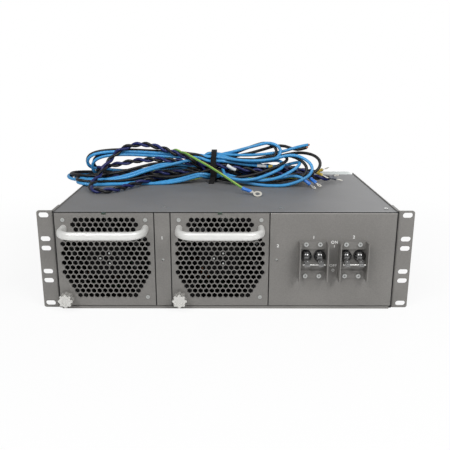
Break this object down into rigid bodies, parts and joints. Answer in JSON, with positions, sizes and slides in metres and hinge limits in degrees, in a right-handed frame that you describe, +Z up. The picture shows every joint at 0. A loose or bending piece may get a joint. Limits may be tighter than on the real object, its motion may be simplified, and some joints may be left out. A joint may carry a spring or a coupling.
{
  "type": "rack power shelf",
  "caption": "Rack-mount power shelf: fan-cooled plug-in modules behind honeycomb grilles with pull handles, guarded breakers, and a strapped bundle of output leads on the lid.",
  "frame": {"origin": "middle of the rack-post plane (the back faces of the ears) at the height of the tray's underside", "axes": "+X to the right seen from the front, +Y to the back, +Z up"},
  "size_m": [0.5033, 0.3835, 0.1956],
  "materials": {
    "paint": "fine-textured warm dark grey powder coat",
    "galvanised": "plain galvanised sheet",
    "zinc": "bright zinc-plated steel",
    "handle": "satin anodised bar",
    "knob": "satin turned knob",
    "black_plastic": "matt black moulding",
    "toggle": "polished black moulding",
    "copper": "bare copper",
    "circuit_board": "solder-masked laminate",
    "heat_sink": "extruded, bare",
    "capacitor": "sleeved cans",
    "lamp": "dark green light pipe",
    "rubber": "soft black rubber",
    "feed_lead": "blue and black insulated leads",
    "output_lead": "twisted black and navy strands",
    "earth_lead": "green and yellow insulated lead",
    "lead_bundle": "folded bundle of the leads",
    "strap": "black hook-and-loop tape",
    "terminal": "tinned ring with a blue barrel"
  },
  "bodies": {
    "shelf": {"chassis_tray": "paint", "lid": "paint", "left_ear": "paint", "right_ear": "paint", "chassis_screws": "zinc", "bay_dividers": "paint", "guide_rails": "galvanised", "backplane": "galvanised", "module_sockets": "black_plastic", "rear_cover": "galvanised", "filler_strip": "paint", "breaker_panel": "paint", "trim_pots": "zinc", "breaker_guards": "paint", "guard_screws": "zinc", "left_breaker": "black_plastic", "right_breaker": "black_plastic", "terminal_block": "black_plastic", "busbars": "copper", "lead_grommets": "rubber", "lead_hank": "lead_bundle", "hank_strap": "strap", "feed_leads": "feed_lead", "output_leads": "output_lead", "earth_leads": "earth_lead", "ring_terminal": "terminal"},
    "left_module": {"left_face": "paint", "left_case": "galvanised", "left_case_cover": "galvanised", "left_handle": "handle", "left_lamp": "lamp", "left_screws": "zinc", "left_fan_frame": "black_plastic", "left_fan_stator": "copper", "left_board": "circuit_board", "left_heat_sink": "heat_sink", "left_transformer": "copper", "left_capacitors": "capacitor", "left_plug": "black_plastic"},
    "left_knob": {"left_knob": "knob"},
    "left_rotor": {"left_fan_rotor": "black_plastic"},
    "left_toggle": {"left_toggles": "toggle", "left_tie_bar": "zinc"},
    "right_module": {"right_face": "paint", "right_case": "galvanised", "right_case_cover": "galvanised", "right_handle": "handle", "right_lamp": "lamp", "right_screws": "zinc", "right_fan_frame": "black_plastic", "right_fan_stator": "copper", "right_board": "circuit_board", "right_heat_sink": "heat_sink", "right_transformer": "copper", "right_capacitors": "capacitor", "right_plug": "black_plastic"},
    "right_knob": {"right_knob": "knob"},
    "right_rotor": {"right_fan_rotor": "black_plastic"},
    "right_toggle": {"right_toggles": "toggle", "right_tie_bar": "zinc"}
  },
  "joints": [
    {"name": "left_module_slide", "type": "slide", "parent": "shelf", "child": "left_module", "axis": [0, -1, 0], "range_m": [0, 0.22]},
    {"name": "left_knob_turn", "type": "hinge", "parent": "left_module", "child": "left_knob", "pos_m": [-0.2073, 0, 0.0164], "axis": [0, 1, 0], "continuous": true},
    {"name": "left_fan_spin", "type": "hinge", "parent": "left_module", "child": "left_rotor", "pos_m": [-0.1548, 0.015, 0.0689], "axis": [0, 1, 0], "continuous": true},
    {"name": "left_breaker_toggle", "type": "hinge", "parent": "shelf", "child": "left_toggle", "pos_m": [0.1123, -0.0085, 0.0742], "axis": [-1, 0, 0], "range_deg": [0, 60]},
    {"name": "right_module_slide", "type": "slide", "parent": "shelf", "child": "right_module", "axis": [0, -1, 0], "range_m": [0, 0.22]},
    {"name": "right_knob_turn", "type": "hinge", "parent": "right_module", "child": "right_knob", "pos_m": [-0.0597, 0, 0.0164], "axis": [0, 1, 0], "continuous": true},
    {"name": "right_fan_spin", "type": "hinge", "parent": "right_module", "child": "right_rotor", "pos_m": [-0.0072, 0.015, 0.0689], "axis": [0, 1, 0], "continuous": true},
    {"name": "right_breaker_toggle", "type": "hinge", "parent": "shelf", "child": "right_toggle", "pos_m": [0.1636, -0.0085, 0.0742], "axis": [-1, 0, 0], "range_deg": [0, 60]}
  ]
}
